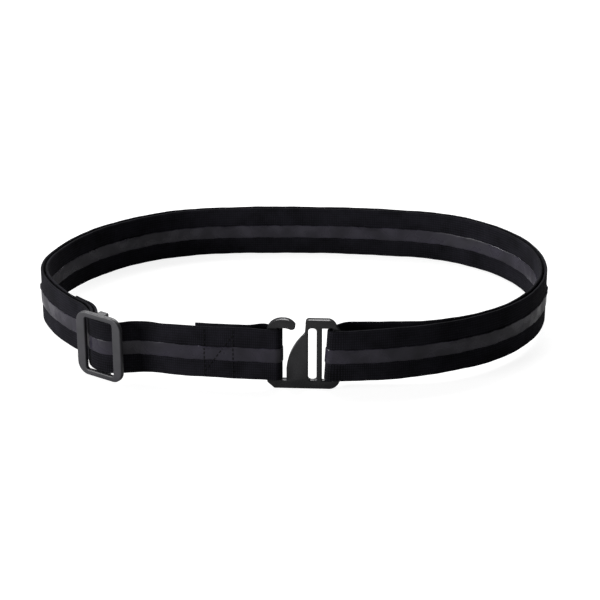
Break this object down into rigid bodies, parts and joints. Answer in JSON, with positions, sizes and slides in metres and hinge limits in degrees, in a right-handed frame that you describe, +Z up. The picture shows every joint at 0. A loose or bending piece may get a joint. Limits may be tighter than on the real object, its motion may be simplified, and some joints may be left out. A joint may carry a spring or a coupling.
{
  "type": "waist belt",
  "caption": "Elastic waist belt standing closed, with an open-hook buckle, a sliding adjuster and a rubber grip stripe.",
  "frame": {"origin": "on the surface the belt stands on, under the middle of its box", "axes": "+Z up, across the webbing's width; the hooked buckle faces -Y; +X to the right of someone who looks at the buckle"},
  "size_m": [0.2994, 0.2018, 0.0413],
  "materials": {
    "webbing": "black knitted elastic webbing, matt with a soft sheen",
    "grip_rubber": "smooth semi-gloss dark grey silicone stripe",
    "thread": "black bonded polyester sewing thread",
    "buckle_metal": "black powder-coated cast metal, fine satin grain",
    "slider_plastic": "charcoal moulded plastic, satin"
  },
  "bodies": {
    "belt": {"front_grip_stripe": "grip_rubber", "front_strap": "webbing", "hook_loop": "webbing", "hook_loop_stitching": "thread", "inner_back_run": "webbing", "inner_front_run": "webbing", "inner_grip_stripe": "grip_rubber", "inner_left_bend": "webbing", "inner_right_back": "webbing", "inner_right_bend": "webbing", "inner_strap_by_buckle": "webbing", "inner_strap_by_slider": "webbing", "inner_stripe_by_slider": "grip_rubber", "outer_back_run": "webbing", "outer_front_run": "webbing", "outer_grip_stripe": "grip_rubber", "outer_left_bend": "webbing", "outer_right_back": "webbing", "outer_right_bend": "webbing", "outer_strap_by_buckle": "webbing", "strap_left_of_slider": "webbing", "strap_right_of_slider": "webbing", "stripe_by_buckle_inside": "grip_rubber", "stripe_by_buckle_outside": "grip_rubber", "stripe_left_of_slider": "grip_rubber", "stripe_right_of_slider": "grip_rubber"},
    "slider": {"slider_frame": "slider_plastic", "slider_strap": "webbing", "slider_end_loop": "webbing", "slider_loop_stitching": "thread", "stripe_on_slider": "grip_rubber"},
    "buckle": {"hook_buckle": "buckle_metal", "buckle_loop": "webbing", "stripe_on_buckle_loop": "grip_rubber"}
  },
  "joints": [
    {"name": "slider_travel", "type": "hinge", "parent": "belt", "child": "slider", "pos_m": [-0.03861, 0.01916, 0], "axis": [0, 0, 1], "range_deg": [-16, 11.5], "deforming": ["strap_right_of_slider", "strap_left_of_slider", "inner_strap_by_slider", "stripe_right_of_slider", "stripe_left_of_slider", "inner_stripe_by_slider"]},
    {"name": "buckle_swivel", "type": "hinge", "parent": "belt", "child": "buckle", "pos_m": [-0.01138, -0.09501, 0], "axis": [0, 0, 1], "range_deg": [-8, 8], "deforming": ["outer_strap_by_buckle", "inner_strap_by_buckle", "stripe_by_buckle_outside", "stripe_by_buckle_inside"]}
  ]
}
